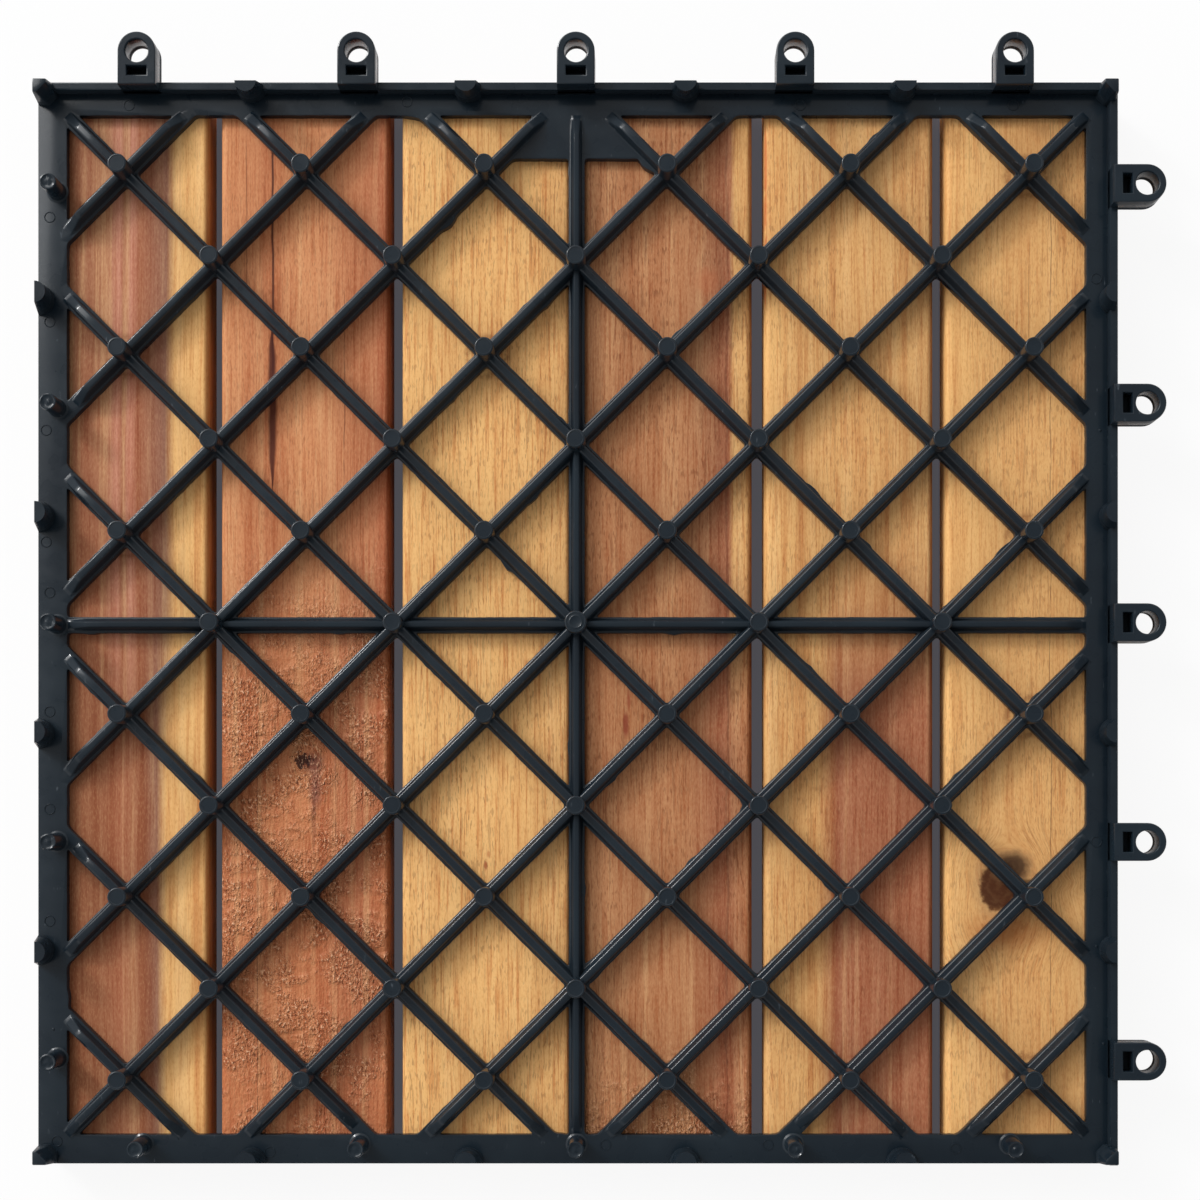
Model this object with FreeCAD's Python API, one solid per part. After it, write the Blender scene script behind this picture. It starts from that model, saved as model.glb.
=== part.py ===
import FreeCAD, Part
import math
import os

# Interlocking deck tile of six timber slats on a moulded plastic base, in millimetres.
# It lies on its walking face with the underside up: slats below, base grid above, foot tips on top.
# Each piece is built about the middle of the base's own square, then moved so that the origin is
# the middle of the whole part's box, at the level of the walking face.

# Slats
slat_count = 6
slat_width = 47.0
slat_gap = 3.4
slat_thickness = 12.0
slat_edge_radius = 1.8

# Outline of the base and the spacing of joined tiles
slat_overhang = 0.3  # how far the slats stand out past the base on every side
joint_gap = 1.6  # clear space between the bases of two joined tiles
base_height = 12.0  # from the slats to the foot tips
sheet_thickness = 2.5  # band, rib flanges and plate
band_width = 8.0

# Lattice ribs, on a diagonal grid with a boss at every crossing
lattice_pitch = 25.0  # half the distance between crossings on one row
flange_width = 4.4
crest_root_width = 3.0
crest_top_width = 2.1
crest_height = 3.5
crest_end_run = 3.2  # length over which a crest slopes down to the band
spine_root_width = 2.8  # crest of the two straight ribs through the middle
spine_top_width = 1.6
spine_height = 2.6
plate_depth = 12.0  # solid web in the middle of the +Y side
boss_radius = 2.45
middle_boss_radius = 2.9
boss_edge_space = 1.0  # least clear space from a boss to the band

# Links: loops on two sides, pins on the other two
link_count = 5
link_pitch = 60.0
pin_radius = 2.35
pin_inset = 5.4
loop_hole_clearance = 0.8
loop_wall = 2.05
loop_lift = 0.5  # space left under a loop for the next tile's band
loop_room = 0.8  # space kept round a joined loop, where lattice ribs stop short of it
loop_thickness = 7.5
loop_slot_length = 5.4
loop_slot_width = 2.5
loop_slot_depth = 5.5
loop_slot_wall = 1.0  # wall between the slot and the pin hole
lip_width = 2.2
lip_height = 3.5

# Feet along the edges and in the corners
foot_tip_radius = 2.9
foot_root_radius = 4.3
foot_sides = 5  # flats round each half-round foot
foot_tip_inset = 1.8
foot_root_inset = 0.2
corner_tip_width = 3.7
corner_root_width = 5.2
corner_tip_inset = 1.2
corner_cut_share = 0.4  # part of a corner foot's width taken off its inner corner

# Screws, driven from the walking face through each slat into its bosses
screw_radius = 1.5
screw_head_radius = 3.4
screw_head_sink = 0.3
screw_end_cover = 1.8  # plastic left over the pilot's end
screw_thread_clearance = 0.05
slat_hole_clearance = 0.25

# Flats round the many small posts, which keep the lattice light
post_sides = 8

# Worked out from the sizes above
slat_pitch = slat_width + slat_gap
field_width = slat_count * slat_pitch - slat_gap
slat_length = field_width
base_half = field_width / 2 - slat_overhang
inner_half = base_half - band_width
sheet_top = slat_thickness + sheet_thickness
tip_level = slat_thickness + base_height
crest_top = sheet_top + crest_height
lip_top = sheet_top + lip_height
loop_hole_radius = pin_radius + loop_hole_clearance
loop_radius = loop_hole_radius + loop_wall
loop_reach = pin_inset + joint_gap
loop_bottom = sheet_top + loop_lift
pin_line = pin_inset - base_half  # Y of the -Y row of pins
overhang = loop_reach + loop_radius  # of the loops past the base, on two sides only
middle_shift = (overhang - slat_overhang) / 2  # from the box's middle to the base's, along X and Y
lattice_reach = int((inner_half - boss_radius - boss_edge_space) // lattice_pitch)
link_places = [(n - (link_count - 1) / 2) * link_pitch for n in range(link_count)]
foot_places = [(a + b) / 2 for a, b in zip(link_places, link_places[1:])]

AXIS = FreeCAD.Vector(0, 0, 1)
MIDDLE = FreeCAD.Vector(0, 0, 0)


def block(x0, x1, y0, y1, z0, z1):
    return Part.makeBox(x1 - x0, y1 - y0, z1 - z0, FreeCAD.Vector(x0, y0, z0))


def rod(x, y, z, radius, height):
    return Part.makeCylinder(radius, height, FreeCAD.Vector(x, y, z))


def turned(shape, degrees):
    copy = shape.copy()
    copy.rotate(MIDDLE, AXIS, degrees)
    return copy


def flat_face(points):
    return Part.Face(Part.makePolygon(points + points[:1]))


def tapered(low_outline, high_outline, z0, z1):
    # Solid between two outlines that have the same corners in the same order, with flat sides
    low = [FreeCAD.Vector(x, y, z0) for x, y in low_outline]
    high = [FreeCAD.Vector(x, y, z1) for x, y in high_outline]
    faces = [flat_face(low), flat_face(high)]
    for n in range(len(low)):
        faces.append(flat_face([low[n - 1], low[n], high[n], high[n - 1]]))
    solid = Part.Solid(Part.Shell(faces))
    if solid.Volume < 0:
        solid.reverse()
    return solid


def prism(x, y, z0, z1, low_radius, high_radius):
    # Upright post with many flats, straight or tapered
    step = 2 * math.pi / post_sides
    turns = [(n + 0.5) * step for n in range(post_sides)]
    low = [(x + low_radius * math.cos(t), y + low_radius * math.sin(t)) for t in turns]
    high = [(x + high_radius * math.cos(t), y + high_radius * math.sin(t)) for t in turns]
    return tapered(low, high, z0, z1)


def square(half):
    return [(-half, -half), (half, -half), (half, half), (-half, half)]


def crossings():
    # Every place where two diagonal ribs cross inside the band, counted in lattice steps
    span = range(-lattice_reach, lattice_reach + 1)
    return [(a, b) for a in span for b in span if (a + b) % 2 == 0]


def slat_middle(number):
    return (number - (slat_count - 1) / 2) * slat_pitch


def screw_places(number):
    # The two bosses that hold one slat: the outermost on the lattice column nearest to its middle
    column = round(slat_middle(number) / lattice_pitch)
    outer = lattice_reach - (lattice_reach + column) % 2
    return [(column * lattice_pitch, row * lattice_pitch) for row in (-outer, outer)]


def all_screw_places():
    return [place for number in range(slat_count) for place in screw_places(number)]


def screw_passage(x, y):
    # Clearance hole with a seat for the head, open at the walking face
    wide = screw_head_radius + slat_hole_clearance
    narrow = screw_radius + slat_hole_clearance
    seat_top = screw_head_sink + wide - narrow
    mouth = prism(x, y, 0, screw_head_sink, wide, wide)
    seat = prism(x, y, screw_head_sink, seat_top, wide, narrow)
    return mouth.fuse([seat, prism(x, y, seat_top, slat_thickness, narrow, narrow)])


def slat(number):
    middle = slat_middle(number)
    left = middle - slat_width / 2
    end = slat_length / 2
    body = block(left, left + slat_width, -end, end, 0, slat_thickness)
    long_edges = [e for e in body.Edges if abs(e.tangentAt(e.FirstParameter).y) > 0.5]
    body = body.makeFillet(slat_edge_radius, long_edges)
    for x, y in screw_places(number):
        body = body.cut(screw_passage(x, y))
    return body


def strip(corners):
    # A bar along X, longer than the base is wide, with the section given by (across, up) corners
    reach = 2 * base_half
    section = [FreeCAD.Vector(-reach, across, up) for across, up in corners]
    return flat_face(section).extrude(FreeCAD.Vector(2 * reach, 0, 0))


def flange():
    side = flange_width / 2
    return strip([(-side, slat_thickness), (-side, sheet_top), (side, sheet_top), (side, slat_thickness)])


def crest(root_width, top_width, height):
    # Raised part of a rib, with leaning sides and a flat top
    root, top, level = root_width / 2, top_width / 2, sheet_top + height
    return strip([(-root, sheet_top), (-top, level), (top, level), (root, sheet_top)])


def on_diagonals(rib):
    # Copies of a strip along X on both families of diagonal lattice lines
    copies = []
    for line in range(-lattice_reach, lattice_reach + 1):
        offset = line * lattice_pitch * math.sqrt(2)
        for angle in (45, -45):
            copy = rib.copy()
            copy.translate(FreeCAD.Vector(0, offset, 0))
            copies.append(turned(copy, angle))
    return copies


def on_spines(rib):
    return [rib, turned(rib, 90)]


def plate():
    # Solid web in the half cell at the middle of the +Y side
    low_row = lattice_reach - lattice_reach % 2
    outline = [
        (0, low_row * lattice_pitch),
        (lattice_pitch, (low_row + 1) * lattice_pitch),
        (0, (low_row + 2) * lattice_pitch),
        (-lattice_pitch, (low_row + 1) * lattice_pitch),
    ]
    cell = tapered(outline, outline, slat_thickness, sheet_top)
    edge = inner_half - plate_depth
    return cell.common(block(-lattice_pitch, lattice_pitch, edge, inner_half, slat_thickness, sheet_top))


def sheet():
    # The flat layer on the slats: band round the edge, rib flanges and the plate
    z0, z1 = slat_thickness, sheet_top
    webs = on_diagonals(flange()) + on_spines(flange()) + [plate()]
    openings = block(-inner_half, inner_half, -inner_half, inner_half, z0, z1).cut(webs)
    return block(-base_half, base_half, -base_half, base_half, z0, z1).cut(openings)


def crests():
    ribs = on_diagonals(crest(crest_root_width, crest_top_width, crest_height))
    ribs += on_spines(crest(spine_root_width, spine_top_width, spine_height))
    lattice = ribs[0].fuse(ribs[1:])
    slope = crest_end_run / crest_height
    rise = 2 * crest_height
    bounds = tapered(square(inner_half), square(inner_half - slope * rise), sheet_top, sheet_top + rise)
    return lattice.common(bounds).cut(loop_rooms())


def boss(x, y):
    return prism(x, y, slat_thickness, tip_level, boss_radius, boss_radius)


def bosses():
    made = [rod(0, 0, slat_thickness, middle_boss_radius, base_height)]
    for a, b in crossings():
        if (a, b) != (0, 0):
            made.append(boss(a * lattice_pitch, b * lattice_pitch))
    return made


def pins():
    row = [rod(x, pin_line, sheet_top, pin_radius, tip_level - sheet_top) for x in link_places]
    return row + [turned(pin, -90) for pin in row]


def loop_rooms():
    # Where the next tile's loops come down over the pins
    radius = loop_radius + loop_room
    row = [prism(x, pin_line, sheet_top, tip_level, radius, radius) for x in link_places]
    return row + [turned(room, -90) for room in row]


def loop(x):
    # An eye for the next tile's pin, standing out of the +Y lip
    root = base_half - lip_width
    middle = base_half + loop_reach
    z0, z1 = loop_bottom, loop_bottom + loop_thickness
    body = block(x - loop_radius, x + loop_radius, base_half, middle, z0, z1)
    body = body.fuse(rod(x, middle, z0, loop_radius, loop_thickness))
    body = body.fuse(block(x - loop_radius, x + loop_radius, root, base_half, sheet_top, z1))
    slot_y = middle - loop_hole_radius - loop_slot_wall - loop_slot_width
    half_slot = loop_slot_length / 2
    slot = block(x - half_slot, x + half_slot, slot_y, slot_y + loop_slot_width, z1 - loop_slot_depth, z1)
    hole = rod(x, middle, z0, loop_hole_radius, loop_thickness)
    return body.cut([slot, hole])


def loops():
    row = [loop(x) for x in link_places]
    return row + [turned(item, -90) for item in row]


def lips():
    lip = block(-base_half, base_half, base_half - lip_width, base_half, sheet_top, lip_top)
    return [lip, turned(lip, -90)]


def half_round(x, flat_y, radius):
    turns = [n * math.pi / foot_sides for n in range(foot_sides + 1)]
    return [(x + radius * math.cos(t), flat_y - radius * math.sin(t)) for t in turns]


def edge_foot(x):
    # Tapered half-round foot on the +Y side, whose flat side leans in from the edge
    low = half_round(x, base_half - foot_root_inset, foot_root_radius)
    high = half_round(x, base_half - foot_tip_inset, foot_tip_radius)
    return tapered(low, high, sheet_top, tip_level)


def edge_feet():
    row = [edge_foot(x) for x in foot_places]
    return [turned(foot, 90 * side) for side in range(4) for foot in row]


def corner_outline(inset, width):
    # A square with its inner corner cut off, in the +X +Y corner
    far = base_half - inset
    near = far - width
    cut = corner_cut_share * width
    return [(far, far), (near, far), (near, near + cut), (near + cut, near), (far, near)]


def corner_feet():
    low = corner_outline(foot_root_inset, corner_root_width)
    high = corner_outline(corner_tip_inset, corner_tip_width)
    foot = tapered(low, high, sheet_top, tip_level)
    return [turned(foot, 90 * side) for side in range(4)]


def pilot(x, y):
    radius = screw_radius + screw_thread_clearance
    return prism(x, y, slat_thickness, tip_level - screw_end_cover, radius, radius)


def base_grid():
    body = sheet().fuse([crests()] + bosses() + pins() + loops() + lips() + edge_feet() + corner_feet())
    body = body.removeSplitter()
    return body.cut([pilot(x, y) for x, y in all_screw_places()])


def screw(x, y):
    shank_start = screw_head_sink + screw_head_radius - screw_radius
    end = tip_level - screw_end_cover - screw_thread_clearance
    head = prism(x, y, screw_head_sink, shank_start, screw_head_radius, screw_radius)
    return head.fuse(prism(x, y, shank_start, end, screw_radius, screw_radius))


def slat_screws():
    return Part.makeCompound([screw(x, y) for x, y in all_screw_places()])


def save(name, shape):
    shape.translate(FreeCAD.Vector(-middle_shift, -middle_shift, 0))
    shape.exportStep(os.path.join("parts", name + ".step"))
    print(name, len(shape.Solids), "solid(s)", round(shape.Volume / 1000, 2), "cm3")


os.makedirs("parts", exist_ok=True)
save("base_grid", base_grid())
save("slat_screws", slat_screws())
for number in range(slat_count):
    save("slat_%d" % (number + 1), slat(number))
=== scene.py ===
import bmesh
import bpy
import math
from mathutils import Matrix, Vector, noise


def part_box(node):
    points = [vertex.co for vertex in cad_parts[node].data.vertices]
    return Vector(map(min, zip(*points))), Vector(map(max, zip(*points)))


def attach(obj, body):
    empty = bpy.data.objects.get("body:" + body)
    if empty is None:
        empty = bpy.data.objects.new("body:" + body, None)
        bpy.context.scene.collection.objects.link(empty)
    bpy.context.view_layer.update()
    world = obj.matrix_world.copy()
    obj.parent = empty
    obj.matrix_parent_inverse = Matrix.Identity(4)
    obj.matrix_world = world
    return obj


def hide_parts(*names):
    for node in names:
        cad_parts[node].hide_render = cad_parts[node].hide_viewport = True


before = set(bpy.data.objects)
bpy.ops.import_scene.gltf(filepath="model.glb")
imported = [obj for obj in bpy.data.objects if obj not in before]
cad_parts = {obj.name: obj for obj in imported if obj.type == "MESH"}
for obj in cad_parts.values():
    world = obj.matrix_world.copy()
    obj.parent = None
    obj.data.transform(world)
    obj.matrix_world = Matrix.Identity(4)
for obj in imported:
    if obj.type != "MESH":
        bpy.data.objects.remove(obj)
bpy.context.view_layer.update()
mm = 0.001

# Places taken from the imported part
slatNames = ["slat_%d" % (n + 1) for n in range(6)]
fieldLow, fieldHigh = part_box(slatNames[0])[0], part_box(slatNames[-1])[1]
gridLow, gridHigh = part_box("base_grid")
middle = (fieldLow + fieldHigh) / 2
middle.z = 0
slatTop = fieldHigh.z
tipLevel = gridHigh.z
baseHalf = middle.x - gridLow.x

# Sizes that several parts of the moulding share
base = dict(
    sheet=2.5 * mm,  # band and rib flanges
    band=8 * mm,
    pitch=25 * mm,  # half the distance between crossings on one row
    reach=5,  # lattice steps from the middle to the outermost crossings
    flange=4.4 * mm,
    crest=3.5 * mm,
    link=60 * mm,  # between eyes, and between pins
    links=5,
    pinInset=5.4 * mm,
    eyeReach=7 * mm,
    lip=2.2 * mm,
)
sheetTop = slatTop + base["sheet"]
crestTop = sheetTop + base["crest"]
innerHalf = baseHalf - base["band"]
linkPlaces = [(n - (base["links"] - 1) / 2) * base["link"] for n in range(base["links"])]
footPlaces = [(a + b) / 2 for a, b in zip(linkPlaces, linkPlaces[1:])]


def meshOf(bm):
    mesh = bpy.data.meshes.new("part")
    bm.to_mesh(mesh)
    bm.free()
    return mesh


def moved(mesh, x=0, y=0, z=0, turn=0):
    copy = mesh.copy()
    copy.transform(Matrix.Rotation(math.radians(turn), 4, "Z") @ Matrix.Translation((x, y, z)))
    return copy


def arc(x, y, radius, start, end, steps):
    turns = [math.radians(start + (end - start) * n / steps) for n in range(steps + 1)]
    return [(x + radius * math.cos(t), y + radius * math.sin(t)) for t in turns]


def circle(x, y, radius, steps=32):
    return arc(x, y, radius, 0, 360, steps)[:-1]


def slab(outlines, low, high, rounding):
    # Filled outlines, the outer one first, thickened from low to high with rounded edges
    curve = bpy.data.curves.new("outline", "CURVE")
    curve.dimensions = "2D"
    curve.fill_mode = "BOTH"
    curve.extrude = (high - low) / 2 - rounding
    curve.bevel_depth = rounding
    curve.bevel_resolution = 1
    curve.offset = -rounding
    for points in outlines:
        spline = curve.splines.new("POLY")
        spline.points.add(len(points) - 1)
        spline.use_cyclic_u = True
        for point, (x, y) in zip(spline.points, points):
            point.co = (x, y, 0, 1)
    holder = bpy.data.objects.new("outline", curve)
    bpy.context.scene.collection.objects.link(holder)
    mesh = bpy.data.meshes.new_from_object(holder)
    bpy.data.objects.remove(holder)
    bpy.data.curves.remove(curve)
    mesh.transform(Matrix.Translation((0, 0, (low + high) / 2)))
    return mesh


def lathe(profile, steps=24):
    # Turned shape from (radius, height) points, closed at both ends on the axis
    bm = bmesh.new()
    verts = [bm.verts.new((r, 0, z)) for r, z in profile]
    edges = [bm.edges.new(pair) for pair in zip(verts, verts[1:])]
    bmesh.ops.spin(bm, geom=verts + edges, axis=(0, 0, 1), cent=(0, 0, 0), angle=2 * math.pi, steps=steps, use_merge=True)
    bmesh.ops.remove_doubles(bm, verts=bm.verts[:], dist=0.001 * mm)
    bmesh.ops.recalc_face_normals(bm, faces=bm.faces[:])
    return meshOf(bm)


# The sheet: band, flanges and plate, with slightly wavy trimmed edges and small moulding flash
web = dict(depth=12 * mm, reach=14 * mm)  # solid plate in the middle of the +Y side
flash = dict(
    step=1.6 * mm,  # spacing of points along a trimmed edge
    wave=0.12 * mm,
    waveScale=700,
    burr=3 * mm,  # how far the worst flash stands into an opening
    burrScale=130,
    burrStart=0.5,  # noise level above which flash starts
    corner=0.8 * mm,
    rounding=0.15 * mm,
)


def divided(bm, normal, offset, chosen):
    # Cuts the chosen faces along a line, given by its normal and its distance from the middle
    faces = [f for f in bm.faces if chosen(f.calc_center_median())]
    edges = {e for f in faces for e in f.edges}
    verts = {v for f in faces for v in f.verts}
    place = Vector(normal).normalized() * offset
    geometry = faces + list(edges) + list(verts)
    bmesh.ops.bisect_plane(bm, geom=geometry, plane_co=place, plane_no=normal, dist=0.001 * mm)


def latticeSheet():
    # One square, divided along every rib; each cell is then drawn in by half a rib's width
    bm = bmesh.new()
    bmesh.ops.create_grid(bm, x_segments=1, y_segments=1, size=baseHalf)
    edge = innerHalf + base["flange"] / 2
    for side in (-edge, edge):
        divided(bm, (1, 0, 0), side, lambda c: True)
        divided(bm, (0, 1, 0), side, lambda c: True)

    def inside(c):
        return max(abs(c.x), abs(c.y)) < edge

    for line in range(-base["reach"], base["reach"] + 1):
        for normal in ((1, 1, 0), (1, -1, 0)):
            divided(bm, normal, line * base["pitch"] * math.sqrt(2), inside)
    divided(bm, (1, 0, 0), 0, inside)
    divided(bm, (0, 1, 0), 0, inside)
    plateEdge = innerHalf - web["depth"] + base["flange"] / 2
    row = (base["reach"] - 1) * base["pitch"]
    divided(bm, (0, 1, 0), plateEdge, lambda c: inside(c) and c.y > row and abs(c.x) < web["reach"])
    solid = [f for f in bm.faces if f.calc_center_median().y > plateEdge and abs(f.calc_center_median().x) < web["reach"]]
    cells = [f for f in bm.faces if inside(f.calc_center_median()) and f not in solid]
    bmesh.ops.inset_individual(bm, faces=cells, thickness=base["flange"] / 2, use_even_offset=True)
    cells = [f for f in cells if f.calc_area() > (2 * mm) ** 2]
    centres = [f.calc_center_median() for f in cells]
    corners = list({v for f in cells for v in f.verts})
    bmesh.ops.bevel(bm, geom=corners, offset=flash["corner"], segments=3, profile=0.5, affect="VERTICES", material=-1)
    cells = [f for f in bm.faces if f.calc_area() > (2 * mm) ** 2 and min((f.calc_center_median() - c).length for c in centres) < mm]
    return bm, cells


def sheetMesh():
    bm, cells = latticeSheet()
    for edge in {e for f in cells for e in f.edges}:
        cuts = round(edge.calc_length() / flash["step"])
        if cuts > 0:
            bmesh.ops.bisect_edges(bm, edges=[edge], cuts=cuts)
    for face in cells:
        centre = face.calc_center_median()
        for v in face.verts:
            wave = flash["wave"] * noise.noise(v.co * flash["waveScale"])
            burr = noise.noise(v.co * flash["burrScale"] + Vector((7, 3, 1)))
            stand = flash["burr"] * max(0, burr - flash["burrStart"])
            v.co += (centre - v.co).normalized() * (wave + stand)
    bmesh.ops.delete(bm, geom=cells, context="FACES")
    bmesh.ops.translate(bm, verts=bm.verts[:], vec=(0, 0, slatTop))
    grown = bmesh.ops.extrude_face_region(bm, geom=bm.faces[:], use_keep_orig=True)
    raised = [g for g in grown["geom"] if isinstance(g, bmesh.types.BMVert)]
    bmesh.ops.translate(bm, verts=raised, vec=(0, 0, base["sheet"]))
    bmesh.ops.recalc_face_normals(bm, faces=bm.faces[:])
    level = sheetTop - 0.1 * mm
    rim = [e for e in bm.edges if min(v.co.z for v in e.verts) > level and e.calc_face_angle(0) > math.radians(60)]
    bmesh.ops.bevel(bm, geom=rim, offset=flash["rounding"], segments=2, profile=0.5, affect="EDGES", material=-1)
    return meshOf(bm)


# Crests of the ribs: leaning sides, domed tops, and ends that run out in a smooth curve
crest = dict(
    root=1.5 * mm,  # half widths
    top=1.05 * mm,
    fillet=0.5 * mm,
    rounding=0.5 * mm,
    endRun=6.2 * mm,
    ease=0.35,  # 0 for a straight run-out, 1 for a fully curved one
    endCuts=8,
    piece=6 * mm,  # length of one piece along the rib
    unevenness=0.05 * mm,
    pinShort=3.4 * mm,  # a crest that would meet the next tile's eye stops this much sooner
    pinRoom=5.6 * mm,
)
spine = dict(root=1.4 * mm, top=0.8 * mm, height=2.6 * mm, rounding=0.4 * mm)


def crestMesh(start, end, turn, offset, shape, height):
    bm = bmesh.new()
    sink, fillet, root = 0.2 * mm, crest["fillet"], shape["root"]
    hollow = [(root + fillet * (1 - math.sin(t)), fillet * (1 - math.cos(t))) for t in (0, 0.55, 1.1, math.pi / 2)]
    half = [(root + fillet, -sink)] + hollow + [(shape["top"], height)]
    section = [(-v, z) for v, z in half] + [(v, z) for v, z in reversed(half)]
    face = bm.faces.new([bm.verts.new((start, v, z)) for v, z in section])
    grown = bmesh.ops.extrude_face_region(bm, geom=[face])
    moving = [g for g in grown["geom"] if isinstance(g, bmesh.types.BMVert)]
    bmesh.ops.translate(bm, verts=moving, vec=(end - start, 0, 0))
    cuts = [start + crest["piece"] * n for n in range(2, int((end - start) / crest["piece"]) - 1)]
    for n in range(1, crest["endCuts"] + 1):
        run = crest["endRun"] * n / crest["endCuts"]
        cuts += [start + run, end - run]
    for place in cuts:
        geometry = bm.verts[:] + bm.edges[:] + bm.faces[:]
        bmesh.ops.bisect_plane(bm, geom=geometry, plane_co=(place, 0, 0), plane_no=(1, 0, 0))
    ridge = [e for e in bm.edges if all(v.co.z > height - sink for v in e.verts)]
    ridge = [e for e in ridge if abs(e.verts[0].co.y - e.verts[1].co.y) < sink]
    bmesh.ops.bevel(bm, geom=ridge, offset=shape["rounding"], segments=4, profile=0.5, affect="EDGES", material=-1)
    across = Matrix.Rotation(math.radians(turn), 4, "Z") @ Matrix.Translation((0, offset, sheetTop))
    for v in bm.verts:
        share = min(1, max(0, min(v.co.x - start, end - v.co.x) / crest["endRun"]))
        if v.co.z > 0:
            v.co.z *= share + crest["ease"] * (share * share * (3 - 2 * share) - share)
        v.co = across @ v.co
        if v.co.z > sheetTop + 1.1 * fillet:
            v.co += noise.noise_vector(v.co * 160) * crest["unevenness"]
            v.co.z = min(v.co.z, sheetTop + height)
    bmesh.ops.recalc_face_normals(bm, faces=bm.faces[:])
    return meshOf(bm)


def nearPin(x, y):
    # True where a rib's end would meet the next tile's eye
    ends = [(place, base["pinInset"] - baseHalf) for place in linkPlaces]
    ends += [(b, a) for a, b in ends]
    return any(math.hypot(x - a, y - b) < crest["pinRoom"] for a, b in ends)


def crestMeshes():
    made = []
    for line in range(-base["reach"], base["reach"] + 1):
        offset = line * base["pitch"] * math.sqrt(2)
        for turn in (45, -45):
            along = Vector((math.cos(math.radians(turn)), math.sin(math.radians(turn))))
            foot = Vector((-along.y, along.x)) * offset
            reach = innerHalf * math.sqrt(2) - abs(offset)
            ends = []
            for side in (-1, 1):
                end = foot + along * side * reach
                short = crest["pinShort"] if nearPin(end.x, end.y) else 0
                ends.append(side * (reach - short))
            made.append(crestMesh(ends[0], ends[1], turn, offset, crest, base["crest"]))
    for turn in (0, 90):
        made.append(crestMesh(-innerHalf, innerHalf, turn, 0, spine, spine["height"]))
    return made


# Round bosses at the crossings, each with a thin raised rim
boss = dict(radius=2.62 * mm, middleRadius=3.05 * mm, edge=0.38 * mm, rim=0.52 * mm, dish=0.14 * mm)


def postProfile(radius, low, high):
    edge, rim, dish = boss["edge"], boss["rim"], boss["dish"]
    return [
        (radius, low),
        (radius, high - edge),
        (radius - 0.13 * edge, high - 0.5 * edge),
        (radius - 0.5 * edge, high - 0.13 * edge),
        (radius - edge, high),
        (radius - rim, high),
        (radius - rim - dish, high - dish),
        (0, high - dish),
    ]


def bossMeshes():
    plain = lathe(postProfile(boss["radius"], slatTop + mm, tipLevel))
    central = postProfile(boss["middleRadius"], slatTop + mm, tipLevel)[:-1]
    level = tipLevel - boss["dish"]
    ring = 0.55 * boss["middleRadius"]
    central += [(ring + 0.2 * mm, level), (ring, level + 0.1 * mm), (ring - 0.2 * mm, level), (0, level)]
    made = [lathe(central, 32)]
    span = range(-base["reach"], base["reach"] + 1)
    for a in span:
        for b in span:
            if (a + b) % 2 == 0 and (a, b) != (0, 0):
                turn = 17 * (a + 3 * b)
                spot = Matrix.Rotation(math.radians(-turn), 3, "Z") @ Vector((a, b, 0)) * base["pitch"]
                made.append(moved(plain, spot.x, spot.y, 0, turn))
    return made


# Pins: flared foot, slight draft and a rough cut top
pin = dict(radius=2.35 * mm, flare=0.7 * mm, flareHeight=0.9 * mm, roughness=0.16 * mm)


def pinMesh():
    r, top = pin["radius"], tipLevel
    profile = [(r + pin["flare"], sheetTop - 0.2 * mm), (r + pin["flare"], sheetTop + 0.05 * mm)]
    profile += [(r + 0.25 * pin["flare"], sheetTop + 0.4 * pin["flareHeight"]), (r, sheetTop + pin["flareHeight"])]
    profile += [(r - 0.05 * mm, top - 0.35 * mm), (r - 0.12 * mm, top - 0.1 * mm), (r - 0.4 * mm, top)]
    profile += [(r - 0.75 * mm, top - 0.22 * mm), (0.9 * mm, top - 0.3 * mm), (0.4 * mm, top - 0.15 * mm), (0, top - 0.2 * mm)]
    return lathe(profile, 28)


def pinMeshes():
    made = []
    plain = pinMesh()
    for n, place in enumerate(linkPlaces):
        for turn in (0, -90):
            copy = plain.copy()
            for v in copy.vertices:
                if v.co.z > tipLevel - 0.5 * mm:
                    rough = noise.noise(v.co * 900 + Vector((n, turn, 0))) * pin["roughness"]
                    v.co.z = min(v.co.z + rough, tipLevel)
            made.append(moved(copy, place, base["pinInset"] - baseHalf, 0, turn))
    return made


# Round marks and small bumps that the moulding tool leaves on the band; places in mm from the tile's middle
toolMark = dict(
    radius=1.4 * mm,
    width=0.16 * mm,
    height=0.16 * mm,
    rings=[
        (-146, 113), (-146, 84), (-147, 54), (-147, 23), (-146, 9), (-146, -24), (-146, -51), (-146, -82),
        (-144, -143), (-85, -146), (8, -144), (53, -144), (105, -145), (-124, 144), (-47, 145), (62, 144),
        (121, 144), (144, 96), (144, -60),
    ],
    bumps=[(-145, -112), (144, -89), (146, -116), (145, 54), (-86, 145), (31, -145)],
    bumpRadius=0.5 * mm,
)


def markMeshes():
    r, w, h = toolMark["radius"], toolMark["width"], toolMark["height"]
    low, small = sheetTop - 0.15 * mm, toolMark["bumpRadius"]
    outline = [(r - w, low), (r - w, sheetTop), (r - 0.5 * w, sheetTop + h), (r + 0.5 * w, sheetTop + h)]
    ring = lathe(outline + [(r + w, sheetTop), (r + w, low), (r - w, low)])
    bump = lathe([(0, low), (small, low), (0.7 * small, sheetTop + 0.8 * h), (0, sheetTop + 1.6 * h)], 12)
    made = [moved(ring, x * mm, y * mm) for x, y in toolMark["rings"]]
    return made + [moved(bump, x * mm, y * mm) for x, y in toolMark["bumps"]]


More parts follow.
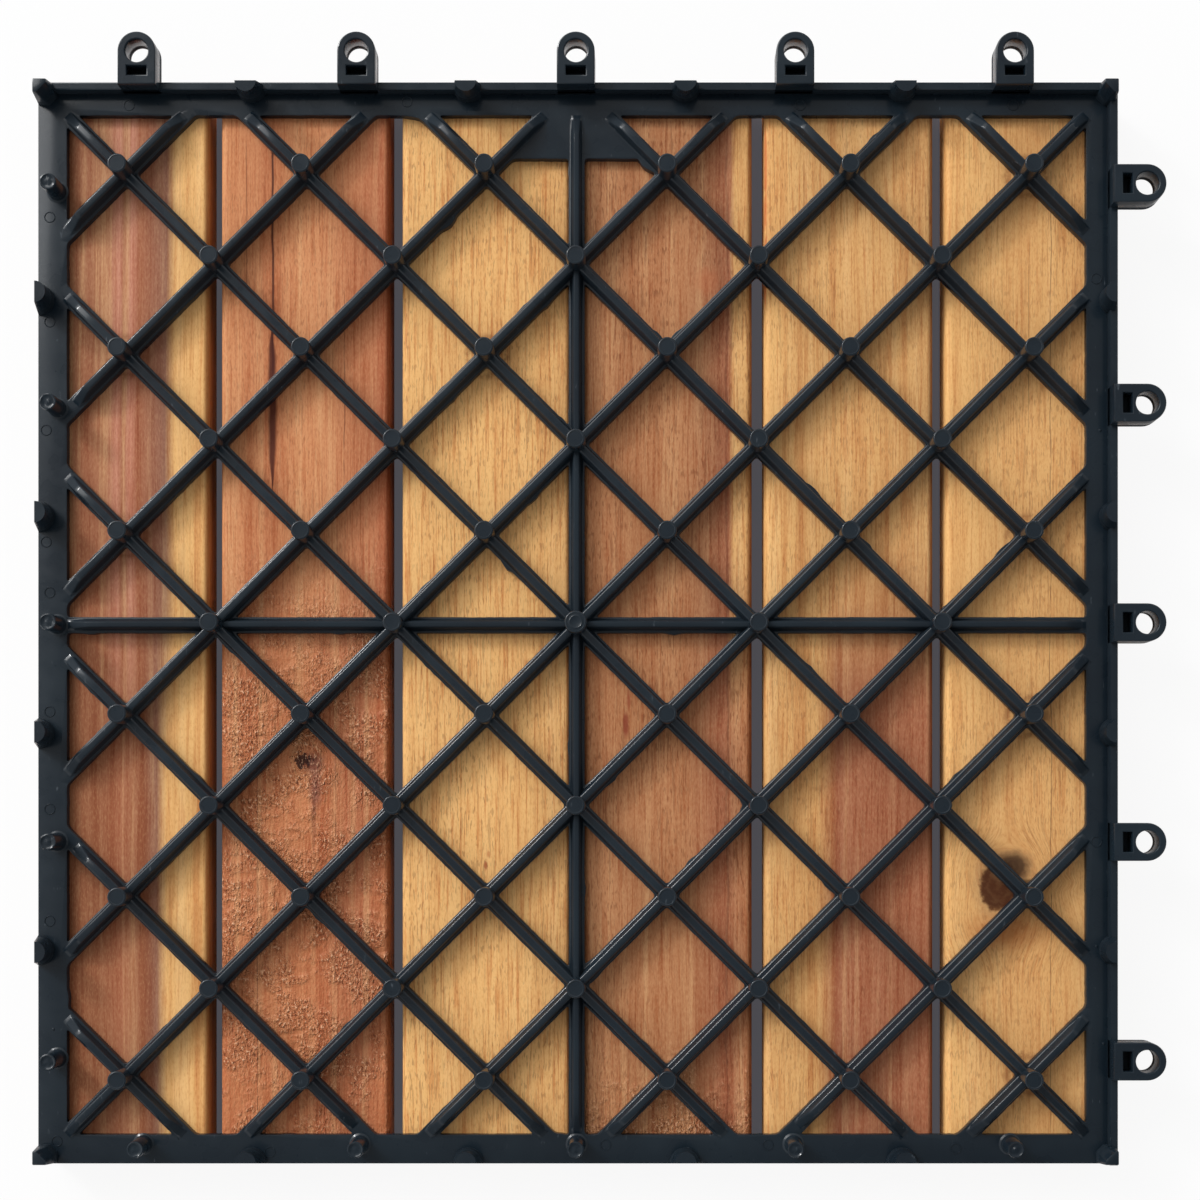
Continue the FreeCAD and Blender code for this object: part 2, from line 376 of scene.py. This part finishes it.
# Feet: half cones that lean in from the edge, and small cut squares in the corners
foot = dict(
    tip=2.9 * mm,
    root=4.3 * mm,
    tipInset=1.8 * mm,
    rootInset=0.2 * mm,
    rounding=0.3 * mm,
    cornerTip=3.7 * mm,
    cornerRoot=5.2 * mm,
    cornerInset=1.2 * mm,
    cut=0.4,  # part of a corner foot's width
)


def softened(bm, rounding, level):
    # Rounds the edges that end at or above a level
    edges = [e for e in bm.edges if len(e.link_faces) == 2 and e.calc_face_angle() > math.radians(35)]
    edges = [e for e in edges if max(v.co.z for v in e.verts) > level]
    bmesh.ops.bevel(bm, geom=edges, offset=rounding, segments=2, profile=0.5, affect="EDGES", material=-1, clamp_overlap=True)
    bmesh.ops.recalc_face_normals(bm, faces=bm.faces[:])


def edgeFoot():
    bm = bmesh.new()
    depth = tipLevel - sheetTop
    bmesh.ops.create_cone(bm, cap_ends=True, segments=28, radius1=foot["root"], radius2=foot["tip"], depth=depth)
    geometry = bm.verts[:] + bm.edges[:] + bm.faces[:]
    cut = bmesh.ops.bisect_plane(bm, geom=geometry, plane_co=(0, 0, 0), plane_no=(0, 1, 0), clear_outer=True)
    rim = [g for g in cut["geom_cut"] if isinstance(g, bmesh.types.BMEdge)]
    bmesh.ops.contextual_create(bm, geom=rim)
    lean = (foot["rootInset"] - foot["tipInset"]) / depth
    bmesh.ops.translate(bm, verts=bm.verts[:], vec=(0, 0, depth / 2))
    for v in bm.verts:
        v.co.y += baseHalf - foot["rootInset"] + lean * v.co.z
        v.co.z += sheetTop
    softened(bm, foot["rounding"], tipLevel - mm)
    return meshOf(bm)


def cornerFoot():
    bm = bmesh.new()
    bmesh.ops.create_cube(bm, size=1)
    low, high = sheetTop - 0.1 * mm, tipLevel
    for v in bm.verts:
        top = v.co.z > 0
        inset = foot["cornerInset"] if top else foot["rootInset"]
        width = foot["cornerTip"] if top else foot["cornerRoot"]
        far = baseHalf - inset
        v.co = (far if v.co.x > 0 else far - width, far if v.co.y > 0 else far - width, high if top else low)
    near = baseHalf - foot["rootInset"] - foot["cornerRoot"]
    spot = (near + foot["cut"] * foot["cornerRoot"], near, low)
    lean = (foot["cornerRoot"] - foot["cornerTip"]) / (high - low)
    geometry = bm.verts[:] + bm.edges[:] + bm.faces[:]
    cut = bmesh.ops.bisect_plane(bm, geom=geometry, plane_co=spot, plane_no=(-1, -1, lean), clear_outer=True)
    rim = [g for g in cut["geom_cut"] if isinstance(g, bmesh.types.BMEdge)]
    bmesh.ops.contextual_create(bm, geom=rim)
    softened(bm, foot["rounding"], high - mm)
    return meshOf(bm)


def footMeshes():
    edge, corner = edgeFoot(), cornerFoot()
    made = [moved(corner, turn=90 * side) for side in range(4)]
    return made + [moved(edge, place, 0, 0, 90 * side) for place in footPlaces for side in range(4)]


# Lips along +X and +Y, and the eyes that stand out of them
eye = dict(
    hole=3.15 * mm,
    wall=2.05 * mm,
    lift=0.5 * mm,
    thickness=7.5 * mm,
    slotLength=5.4 * mm,
    slotWidth=2.5 * mm,
    slotDepth=5.5 * mm,
    slotWall=1 * mm,
    rounding=0.35 * mm,
)
lipRise = 3.5 * mm


def eyeMesh():
    radius = eye["hole"] + eye["wall"]
    centre = baseHalf + base["eyeReach"]
    root = baseHalf - base["lip"]
    low, high = sheetTop + eye["lift"], sheetTop + eye["lift"] + eye["thickness"]
    floor = high - eye["slotDepth"]
    outline = [(-radius, root), (radius, root)] + arc(0, centre, radius, 0, 180, 20)
    stem = [(-radius, root), (radius, root), (radius, baseHalf), (-radius, baseHalf)]
    far = centre - eye["hole"] - eye["slotWall"]
    half, near = eye["slotLength"] / 2, far - eye["slotWidth"]
    slot = [(-half, near), (half, near), (half, far), (-half, far)]
    hole = circle(0, centre, eye["hole"])
    upper = slab([outline, hole, slot], floor - 0.4 * mm, high, eye["rounding"])
    lower = slab([outline, hole], low, floor, eye["rounding"])
    foot = slab([stem], sheetTop - 0.2 * mm, floor, 0.1 * mm)
    return [upper, lower, foot]


def lipMesh():
    half, width = baseHalf, base["lip"]
    top = sheetTop + lipRise
    outline = [(-half, half), (-half, half - width), (half - width, half - width), (half - width, -half), (half, -half), (half, half)]
    return slab([outline], sheetTop - 0.5 * mm, top, 0.4 * mm)


def linkMeshes():
    made = [lipMesh()]
    for part in eyeMesh():
        made += [moved(part, place, 0, 0, turn) for place in linkPlaces for turn in (0, -90)]
    return made


def addBase():
    bm = bmesh.new()
    for mesh in [sheetMesh()] + crestMeshes() + bossMeshes() + pinMeshes() + markMeshes() + footMeshes() + linkMeshes():
        bm.from_mesh(mesh)
        bpy.data.meshes.remove(mesh)
    bmesh.ops.translate(bm, verts=bm.verts[:], vec=middle)
    sharp = math.radians(32)
    for f in bm.faces:
        f.smooth = True
    for e in bm.edges:
        e.smooth = not (len(e.link_faces) == 2 and e.calc_face_angle(0) > sharp)
    mesh = meshOf(bm)
    mesh.name = "base_moulding"
    piece = bpy.data.objects.new("base_moulding", mesh)
    bpy.context.scene.collection.objects.link(piece)
    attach(piece, "root")
    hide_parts("base_grid")
    print("base moulding:", len(mesh.polygons), "faces")
    return piece


# Shader arithmetic: a wrapped socket that adds, multiplies and so on
class Wire:
    def __init__(self, tree, socket):
        self.tree = tree
        self.socket = socket

    def node(self, kind, settings, values, out=0):
        made = self.tree.nodes.new(kind)
        for name, value in settings.items():
            setattr(made, name, value)
        for name, value in values.items():
            if isinstance(value, Wire):
                self.tree.links.new(value.socket, made.inputs[name])
            else:
                made.inputs[name].default_value = value
        return Wire(self.tree, made.outputs[out])

    def maths(self, operation, a, b=0.0, clamp=False):
        return self.node("ShaderNodeMath", {"operation": operation, "use_clamp": clamp}, {0: a, 1: b})

    def __add__(self, other):
        return self.maths("ADD", self, other)

    __radd__ = __add__

    def __sub__(self, other):
        return self.maths("SUBTRACT", self, other)

    def __rsub__(self, other):
        return self.maths("SUBTRACT", other, self)

    def __mul__(self, other):
        return self.maths("MULTIPLY", self, other)

    __rmul__ = __mul__

    def __truediv__(self, other):
        return self.maths("DIVIDE", self, other)

    def __pow__(self, other):
        return self.maths("POWER", self, other)

    def __abs__(self):
        return self.maths("ABSOLUTE", self)

    def clamped(self):
        return self.maths("ADD", self, 0.0, clamp=True)

    def step(self, low, high):
        # 0 below low, 1 above high, smooth between; low may be the larger
        values = {"Value": self, "From Min": low, "From Max": high, "To Min": 0.0, "To Max": 1.0}
        return self.node("ShaderNodeMapRange", {"interpolation_type": "SMOOTHSTEP"}, values)

    def scaled(self, scale, shift=(0, 0, 0)):
        return self.node("ShaderNodeMapping", {"vector_type": "POINT"}, {"Vector": self, "Scale": scale, "Location": shift})

    def grain(self, scale, detail=2.0, roughness=0.5, out=0):
        values = {"Vector": self, "Scale": scale, "Detail": detail, "Roughness": roughness}
        return self.node("ShaderNodeTexNoise", {"noise_dimensions": "3D"}, values, out)

    def axis(self, n):
        return self.node("ShaderNodeSeparateXYZ", {}, {0: self}, n)

    def joined(self, y, z):
        return self.node("ShaderNodeCombineXYZ", {}, {0: self, 1: y, 2: z})

    def spot(self, x, y, wide, tall):
        # Distance from a place in the plan, 1 on the rim of an ellipse round it
        return self.scaled((1 / wide, 1 / tall, 0), (-x / wide, -y / tall, 0)).size()

    def size(self):
        return self.node("ShaderNodeVectorMath", {"operation": "LENGTH"}, {0: self}, 1)

    def mixed(self, other, factor, blend="MIX"):
        settings = {"data_type": "RGBA", "blend_type": blend}
        return self.node("ShaderNodeMix", settings, {0: factor, 6: self, 7: other}, 2)

    def ramp(self, stops):
        made = self.tree.nodes.new("ShaderNodeValToRGB")
        elements = made.color_ramp.elements
        elements[0].position, elements[1].position = stops[0][0], stops[-1][0]
        elements[0].color, elements[1].color = colour(stops[0][1]), colour(stops[-1][1])
        for place, shade in stops[1:-1]:
            elements.new(place).color = colour(shade)
        self.tree.links.new(self.socket, made.inputs[0])
        return Wire(self.tree, made.outputs[0])

    def bump(self, strength, distance, normal=None):
        values = {"Height": self, "Strength": strength, "Distance": distance}
        if normal is not None:
            values["Normal"] = normal
        return self.node("ShaderNodeBump", {}, values)


def colour(shade):
    # Screen colour, 0 to 255 a channel, as linear light
    parts = [c / 255 for c in shade]
    return [c / 12.92 if c <= 0.04045 else ((c + 0.055) / 1.055) ** 2.4 for c in parts] + [1]


def newMaterial(name):
    # The material, its shader's inputs and the place on the part, from the tile's middle
    material = bpy.data.materials.new(name)
    material.use_nodes = True
    tree = material.node_tree
    shader = tree.nodes["Principled BSDF"]
    start = Wire(tree, None)
    place = start.node("ShaderNodeTexCoord", {}, {}, "Object")
    return material, shader, place.scaled((1, 1, 1), tuple(-middle))


def feed(shader, **wires):
    for name, value in wires.items():
        socket = shader.inputs[name.replace("_", " ")]
        if isinstance(value, Wire):
            value.tree.links.new(value.socket, socket)
        else:
            socket.default_value = value


# Plastic: blue-black, half glossy, with flow marks and light scuffs
plastic = dict(
    shade=(15, 24, 32),
    pale=(22, 33, 41),
    mottle=160,
    gloss=0.26,
    dull=0.38,
    skin=1400,
    skinDepth=0.05 * mm,
    scuff=(96, 104, 112),
    drag=0.72,  # roughness of the steep sides
)


def plasticMaterial():
    material, shader, place = newMaterial("moulded_plastic")
    broad = place.grain(plastic["mottle"], 2, 0.6)
    fine = place.grain(plastic["skin"], 2, 0.6)
    scuffs = place.scaled((1, 0.25, 1)).grain(900, 2, 0.7).step(0.66, 0.76) * broad.step(0.45, 0.6)
    tone = place.grain(40, 3, 0.5).ramp([(0.3, plastic["shade"]), (0.75, plastic["pale"])])
    tone = tone.mixed(colour(plastic["scuff"]), scuffs * 0.35)
    rough = plastic["gloss"] + (plastic["dull"] - plastic["gloss"]) * broad.step(0.35, 0.65) + 0.12 * scuffs
    level = place.axis(2)
    sides = level.step(sheetTop + 0.25 * mm, sheetTop + 0.5 * mm) * level.step(crestTop - 0.3 * mm, crestTop - 0.8 * mm)
    rough = rough + (plastic["drag"] - rough) * sides
    height = 0.5 * fine + 2.0 * broad
    feed(shader, Base_Color=tone, Roughness=rough, Normal=height.bump(0.35, plastic["skinDepth"]))
    feed(shader, Specular_IOR_Level=0.18, Coat_Weight=0.28 * (1 - 0.8 * sides), Coat_Roughness=0.13)
    return material


# Timber tones, from pale outer wood to dark heart
tones = dict(
    cream=(230, 180, 115),
    honey=(215, 165, 105),
    straw=(200, 155, 100),
    amber=(205, 140, 95),
    copper=(190, 120, 80),
    rust=(180, 110, 75),
    tan=(180, 125, 85),
    sienna=(165, 105, 75),
    umber=(155, 100, 70),
    cocoa=(140, 90, 60),
    rose=(195, 135, 110),
    mauve=(145, 100, 80),
)

# Each slat has tones from its left edge to its right, for its upper and its lower half, and its own
# knots, cracks and stains. Places are in mm from the tile's middle
looks = [
    dict(
        upper=[(0.1, "cocoa"), (0.4, "sienna"), (0.47, "rose"), (0.5, "sienna"), (0.55, "rose"), (0.6, "sienna"), (0.76, "mauve"), (0.82, "cream")],
        lower=[(0.1, "cocoa"), (0.4, "umber"), (0.5, "sienna"), (0.62, "umber"), (0.71, "mauve"), (0.77, "cream")],
        streaks=0.5,
        lines=0.38,
        pores=0.12,
        stains=[(-125, 75), (-125, 25)],
    ),
    dict(
        upper=[(0.05, "amber"), (0.25, "copper"), (0.5, "amber"), (0.95, "rust")],
        lower=[(0.05, "copper"), (0.5, "copper"), (0.8, "rust"), (1, "copper")],
        streaks=0.45,
        lines=0.43,
        pores=0.26,
        knots=[
            dict(x=-73.2, y=-38.2, wide=2.4, tall=2.6, tone=(104, 60, 52), soft=0.8, dark=0.8),
            dict(x=-72.8, y=-45, wide=1.5, tall=5, tone=(134, 84, 70), soft=0.8, dark=0.8),
            dict(x=-76.4, y=-37.0, wide=2.5, tall=2.3, tone=(44, 22, 20), soft=0.2, dark=0.95, ragged=3.0),
        ],
        cracks=[
            dict(x=-84.6, start=140, end=66, width=0.45, wander=1.5, dark=0.9, whole=True),
            dict(x=-84.8, start=84, end=35, width=1.5, wander=2.2, dark=0.9, taper=16, whole=True),
            dict(x=-91.9, start=138, end=88, width=0.2, wander=1.2, dark=0.5),
            dict(x=-64.8, start=96, end=38, width=0.22, wander=1.6, dark=0.55),
            dict(x=-88.9, start=-24, end=-142, width=0.2, wander=1.0, dark=0.5),
            dict(x=-67.2, start=-24, end=-104, width=0.2, wander=1.4, dark=0.4),
            dict(x=-73.4, start=-44, end=-66, width=0.9, wander=3.0, dark=0.35),
        ],
        torn=(34, -22),
    ),
    dict(
        upper=[(0.05, "cream"), (0.8, "cream"), (1, "honey")],
        lower=[(0.05, "cream"), (0.7, "cream"), (1, "honey")],
        streaks=0.3,
        lines=0.58,
        pores=0.38,
        knots=[
            dict(x=-25.4, y=-66.6, wide=0.5, tall=1.5, tone=(150, 66, 38), soft=0.5, dark=0.8, ragged=1.2),
            dict(x=-24.6, y=-63.5, wide=0.5, tall=1.0, tone=(176, 96, 56), soft=0.6, dark=0.6, ragged=1.2),
        ],
        stains=[(-25, 75)],
    ),
    dict(
        upper=[(0.1, "tan"), (0.6, "tan"), (0.8, "umber"), (0.86, "sienna"), (0.89, "honey")],
        lower=[(0.1, "tan"), (0.6, "tan"), (0.84, "sienna"), (1, "tan")],
        streaks=0.4,
        lines=0.53,
        pores=0.48,
        knots=[
            dict(x=13.6, y=-27.5, wide=0.8, tall=3.2, tone=(128, 50, 34), soft=0.5, dark=0.8),
            dict(x=14.4, y=-20.5, wide=0.5, tall=2.6, tone=(138, 60, 40), soft=0.6, dark=0.6),
            dict(x=36, y=95.8, wide=3.0, tall=3.4, tone=(176, 96, 60), soft=0.6, dark=0.4),
        ],
        cracks=[dict(x=41.8, start=140, end=-150, width=0.5, wander=3.0, dark=0.3)],
        torn=(-112, -140),
    ),
    dict(
        upper=[(0.02, "cream"), (0.2, "honey"), (0.8, "honey"), (1, "straw")],
        lower=[(0.05, "honey"), (0.3, "honey"), (0.42, "sienna"), (1, "sienna")],
        streaks=0.4,
        lines=0.48,
        pores=0.3,
        cracks=[dict(x=52.5, start=142, end=86, width=0.55, wander=0.5, dark=0.6, tone=(186, 74, 34))],
    ),
    dict(
        upper=[(0.03, "cream"), (0.4, "honey"), (0.8, "honey"), (1, "straw")],
        lower=[(0.03, "cream"), (0.3, "honey"), (0.8, "honey"), (1, "straw")],
        streaks=0.25,
        lines=0.38,
        pores=0.3,
        knots=[
            dict(x=117.6, y=-72.4, wide=5.5, tall=7.0, tone=(70, 34, 16), soft=0.12, dark=0.97, halo=0.4),
            dict(x=121.2, y=-67, wide=4.4, tall=3.6, tone=(48, 28, 18), soft=0.45, dark=0.9, halo=0.5),
            dict(x=126, y=-71.5, wide=4.5, tall=1.0, tone=(58, 32, 18), soft=0.5, dark=0.8),
            dict(x=119, y=-85, wide=9, tall=4.2, tone=(168, 92, 42), soft=0.8, dark=0.6),
        ],
        cracks=[
            dict(x=131.8, start=144, end=-144, width=0.2, wander=1.6, dark=0.5),
            dict(x=125.8, start=110, end=56, width=0.16, wander=1.0, dark=0.4),
        ],
        stains=[(125, 125), (125, 25), (125, -25), (125, -125)],
    ),
]
timber = dict(
    sway=5 * mm,  # how far the grain wanders sideways
    swayScale=22,
    knotReach=3.4,  # in knot radii
    knotPush=0.75,
    deep=(208, 152, 112),  # multiplies the tone in dark streaks
    light=(246, 206, 150),
    pore=(104, 52, 26),
    crack=(70, 28, 20),
    stain=(124, 66, 34),
    stainRadius=5.4,
    halo=(150, 112, 76),
    # paler lifted fibres, with a painted highlight on their raised tops
    liftedFibreAndHighlight=(240, 186, 148),  # lifted fibres
    # darker torn pits, with painted shade in these hollows
    pitAndShade=(104, 54, 36),
    fibre=0.26,
    # painted shade: darkens each slat's right edge, which turns away from the light, by multiplying its colour
    paintedEdgeShade=(196, 172, 158),  # multiplies the tone along the right edge
    ends=(186, 150, 124),  # multiplies the tone on the sawn ends
    rough=0.52,
)


def spotOf(knot):
    return {name: knot[name] * mm for name in ("x", "y", "wide", "tall")}


def knotted(place, look):
    # The way across the grain, drawn aside round each knot
    across = place.axis(0)
    for knot in look.get("knots", []):
        near = place.spot(**spotOf(knot)).step(timber["knotReach"], 0.6)
        across = across - (place.axis(0) - knot["x"] * mm) * near * timber["knotPush"] * knot["dark"] ** 2
    return across


def crackMask(place, wave, whole, crack):
    # A thin wandering line between two heights, broken in places
    y = place.axis(1)
    off = abs(place.axis(0) - crack["x"] * mm - wave * crack["wander"] * mm)
    start, end, taper = crack["start"] * mm, crack["end"] * mm, crack.get("taper", 9) * mm
    span = y.step(end, end + taper) * y.step(start, start - 9 * mm)
    width = span * crack["width"] * mm
    mask = off.step(width, width * 0.3) * span.step(0, 0.1)
    if not crack.get("whole"):
        mask = mask * whole
    return mask * crack["dark"]


def timberMaterial(number):
    look = looks[number]
    material, shader, place = newMaterial("timber_%d" % (number + 1))
    low, high = [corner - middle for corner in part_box(slatNames[number])]
    y = place.axis(1)
    seed = (3.7 * number, 1.3 * number, 0.7 * number)
    sway = place.scaled((1, 0.16, 1), seed).grain(timber["swayScale"], 2, 0.5) - 0.5
    across = knotted(place, look) + sway * timber["sway"]
    wood = across.joined(y, place.axis(2)).scaled((1, 1, 1), seed)

    share = (across - low.x) / (high.x - low.x)
    upper, lower = [[(at, tones[tone]) for at, tone in look[half]] for half in ("upper", "lower")]
    tone = share.ramp(upper).mixed(share.ramp(lower), (y + sway * 60 * mm).step(25 * mm, -35 * mm))
    figure = wood.scaled((1, 0.016, 1)).grain(260, 4, 0.68)
    lines = wood.scaled((1, 0.03, 1), (2, 7, 4)).grain(1500, 3, 0.62)
    deep, light = colour(timber["deep"]), colour(timber["light"])
    tone = tone.mixed(deep, figure.step(0.47, 0.68) * look["streaks"], "MULTIPLY")
    tone = tone.mixed(light, figure.step(0.5, 0.3) * look["streaks"] * 0.5)
    tone = tone.mixed(deep, lines.step(0.48, 0.66) * look["lines"], "MULTIPLY")

    crowd = wood.scaled((1, 0.25, 1), (5, 2, 1)).grain(75, 1, 0.55).step(0.3, 0.62)
    long = wood.scaled((1, 0.05, 1), (1, 5, 2)).grain(1600, 1, 0.5).step(0.6, 0.68)
    short = wood.scaled((1, 0.17, 1), (4, 1, 3)).grain(2000, 1, 0.5).step(0.57, 0.66)
    pores = (long * 0.8 + short).clamped() * (0.25 + 0.75 * crowd)
    tone = tone.mixed(colour(timber["pore"]), pores * look["pores"])
    fibre = wood.scaled((1, 0.3, 1), (7, 3, 5)).grain(2600, 2, 0.6)
    tone = tone.mixed(deep, fibre.step(0.48, 0.7) * timber["fibre"], "MULTIPLY")
    tone = tone.mixed(light, fibre.step(0.5, 0.3) * timber["fibre"] * 0.3)
    height = place.scaled((1, 0.03, 1), seed).grain(1300, 1, 0.5) * 0.02

    uneven = place.grain(420, 3, 0.6)
    for x, spotY in look.get("stains", []):
        reach = place.spot(x * mm, spotY * mm, timber["stainRadius"] * mm, timber["stainRadius"] * mm)
        ring = reach.step(0.66, 0.95) * reach.step(1.3, 1.0) + reach.step(0.9, 0.5) * 0.4
        tone = tone.mixed(colour(timber["stain"]), ring * uneven.step(0.34, 0.58) * 0.5)
    for knot in look.get("knots", []):
        reach = place.spot(**spotOf(knot)) + (uneven - 0.5) * 0.5
        if "ragged" in knot:
            reach = reach + (place.scaled((1, 0.7, 1)).grain(950, 3, 0.6) - 0.45) * knot["ragged"]
        tone = tone.mixed(colour(timber["halo"]), reach.step(1.7, 1.0) * knot.get("halo", 0.0))
        swirl = place.maths("SINE", reach * 15 + uneven * 6) * 0.03 + 0.97
        mask = reach.step(1 + knot["soft"], 1 - knot["soft"]) * knot["dark"]
        tone = tone.mixed(colour(knot["tone"]), mask * swirl)
    if "cracks" in look:
        wave = place.scaled((0.5, 1, 0), seed).grain(45, 2, 0.6) - 0.5
        whole = place.scaled((2, 1, 0), seed).grain(160, 2, 0.6).step(0.3, 0.5)
    for crack in look.get("cracks", []):
        mask = crackMask(place, wave, whole, crack)
        tone = tone.mixed(colour(crack.get("tone", timber["crack"])), mask)

    rough = timber["rough"] + 0.12 * figure
    if "torn" in look:
        start, end = look["torn"]
        torn = (y + (place.grain(60, 2, 0.6) - 0.5) * 45 * mm).step(start * mm, end * mm)
        chips = place.scaled((1, 0.6, 1)).grain(1500, 2, 0.65)
        patch = place.grain(120, 2, 0.65).step(0.4, 0.64) * torn
        # torn grain: dark pits in the hollows of the chip relief are partly painted shade, and pale fibres on its
        # raised tops partly a painted highlight
        tone = tone.mixed(colour(timber["pitAndShade"]), chips.step(0.45, 0.35) * patch * 0.8)
        tone = tone.mixed(colour(timber["liftedFibreAndHighlight"]), chips.step(0.56, 0.64) * patch * 0.8)
        height = height + chips * (patch * 0.95 + torn * 0.3)
        rough = rough - 0.14 * torn
    # painted shade along the right edge of every slat but the last, where the rounded edge faces away from the light
    if number < len(looks) - 1:
        paintedEdgeShade = (high.x - place.axis(0)).step(1.7 * mm, 0.4 * mm)
        tone = tone.mixed(colour(timber["paintedEdgeShade"]), paintedEdgeShade, "MULTIPLY")
    ends = abs(y).step(high.y - 0.4 * mm, high.y - 0.1 * mm)
    pith = place.scaled((1, 0, 1), (0.04 - 0.02 * number, 0, 0.05))
    rings = place.maths("SINE", (pith.size() + sway * 4 * mm) * 2900)
    tone = tone.mixed(colour(timber["ends"]), ends * (0.75 + 0.25 * rings), "MULTIPLY")
    feed(shader, Base_Color=tone, Roughness=rough, Normal=height.bump(1.0, mm), Specular_IOR_Level=0.15)
    return material


def steelMaterial():
    material, shader, place = newMaterial("screw_steel")
    rough = 0.28 + 0.16 * place.grain(1500, 3, 0.6)
    tone = place.grain(500, 2, 0.5).ramp([(0.3, (176, 174, 168)), (0.7, (196, 194, 190))])
    feed(shader, Base_Color=tone, Roughness=rough, Metallic=1.0, Normal=place.grain(2500, 2, 0.5).bump(0.2, 0.02 * mm))
    return material


def dress(name, material):
    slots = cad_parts[name].material_slots
    if not slots:
        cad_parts[name].data.materials.append(material)
    for held in slots:
        held.material = material


# Floor, light and camera
studio = dict(
    floor=(246, 246, 247),
    glow=(253, 253, 253),
    # painted shadow: the dark grey the floor glows with for camera rays between the slats, in place of the shade under
    # the tile
    gapShadow=(75, 74, 79),  # what shows between the slats
    key=dict(place=(-2.6, 2.6, 3.1), size=3.2, power=124),
    glint=dict(place=(-2.9, 2.5, 2.3), size=0.7, power=72),  # small lamp for thin bright edges
    zenith=0.45,  # dome brightness overhead and at the horizon
    horizon=1.22,
    side=0.45,  # how much brighter the dome is on the key's side
    backdrop=0.98,
)
view = dict(right=18.1 * mm, down=53.9 * mm, height=564 * mm, lens=59.5, shiftX=-0.035, shiftY=0.183)


def addFloor():
    bm = bmesh.new()
    bmesh.ops.create_grid(bm, x_segments=1, y_segments=1, size=4)
    floor = bpy.data.objects.new("floor", meshOf(bm))
    floor.location = (0, 0, 0)
    bpy.context.scene.collection.objects.link(floor)
    material, shader, place = newMaterial("floor")
    feed(shader, Base_Color=colour(studio["floor"]), Roughness=0.8, Specular_IOR_Level=0.1)
    tree = material.node_tree
    # for camera rays the floor mostly glows: evenly white round the tile, and under it a painted shadow, the dark grey
    # seen between the slats
    seen = place.node("ShaderNodeLightPath", {}, {}, "Is Camera Ray")
    edge = place.maths("MAXIMUM", abs(place.axis(0)), abs(place.axis(1)))
    outside = edge.step(baseHalf, baseHalf + 0.5 * mm)
    tone = colour(studio["gapShadow"])
    tone = place.node("ShaderNodeMix", {"data_type": "RGBA"}, {0: outside, 6: tone, 7: colour(studio["glow"])}, 2)
    glow = place.node("ShaderNodeEmission", {}, {"Color": tone, "Strength": 1.0})
    lit = Wire(tree, shader.outputs[0])
    both = place.node("ShaderNodeMixShader", {}, {0: seen * 0.92, 1: lit, 2: glow})
    tree.links.new(both.socket, tree.nodes["Material Output"].inputs["Surface"])
    floor.data.materials.append(material)


def addLamp(name, place, size, power):
    lamp = bpy.data.lights.new(name, "AREA")
    lamp.shape = "DISK"
    lamp.size = size
    lamp.energy = power
    holder = bpy.data.objects.new(name, lamp)
    holder.location = place
    holder.rotation_mode = "QUATERNION"
    holder.rotation_quaternion = (middle - Vector(place)).to_track_quat("-Z", "Y")
    bpy.context.scene.collection.objects.link(holder)


def addCamera():
    lens = bpy.data.cameras.new("camera")
    lens.lens = view["lens"]
    lens.sensor_width = 36
    lens.shift_x, lens.shift_y = view["shiftX"], view["shiftY"]
    lens.clip_start, lens.clip_end = 0.01, 20
    camera = bpy.data.objects.new("camera", lens)
    camera.location = (middle.x + view["right"], middle.y - view["down"], view["height"])
    bpy.context.scene.collection.objects.link(camera)
    bpy.context.scene.camera = camera


def addWorld():
    world = bpy.data.worlds.new("studio")
    world.use_nodes = True
    tree = world.node_tree
    start = Wire(tree, None)
    way = start.node("ShaderNodeTexCoord", {}, {}, "Generated")
    dome = studio["horizon"] + (studio["zenith"] - studio["horizon"]) * way.axis(2).step(0.1, 0.9)
    dome = dome + (way.axis(1) - way.axis(0)) * studio["side"] * math.sqrt(0.5)
    seen = start.node("ShaderNodeLightPath", {}, {}, "Is Camera Ray")
    strength = dome + (studio["backdrop"] - dome) * seen
    tree.links.new(strength.socket, tree.nodes["Background"].inputs["Strength"])
    tree.nodes["Background"].inputs["Color"].default_value = (1, 1, 1, 1)
    bpy.context.scene.world = world
    bpy.context.scene.view_settings.view_transform = "Standard"


moulding = addBase()
moulding.data.materials.append(plasticMaterial())
print("plastic done")
for number, name in enumerate(slatNames):
    dress(name, timberMaterial(number))
dress("slat_screws", steelMaterial())
print("timber and steel done")
addFloor()
addLamp("key", **studio["key"])
addLamp("glint", **studio["glint"])
addWorld()
addCamera()
print("studio done")
